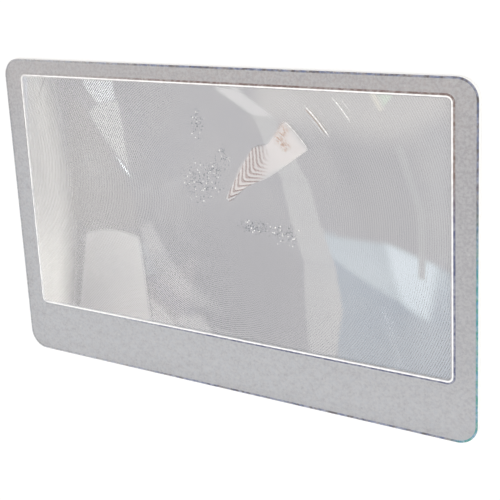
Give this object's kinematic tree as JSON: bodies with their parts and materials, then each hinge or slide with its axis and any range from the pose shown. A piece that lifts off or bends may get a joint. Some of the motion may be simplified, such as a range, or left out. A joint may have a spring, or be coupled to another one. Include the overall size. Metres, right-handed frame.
{
  "type": "fresnel lens",
  "caption": "Wallet-card Fresnel magnifier: a thin clear plastic sheet with a rectangular grooved lens, a raised bead round it and a frosted border, widest at the bottom.",
  "frame": {"origin": "middle of the smooth back, which the card lies on", "axes": "+X along the card's length, +Y up its face towards the narrow top border, +Z out of the grooved front face"},
  "size_m": [0.0856, 0.054, 0.0011],
  "materials": {
    "clear_pvc": "translucent pressed PVC, glossy and grooved in the window, frosted on the border"
  },
  "bodies": {
    "root": {"lens_card": "clear_pvc"}
  },
  "joints": []
}
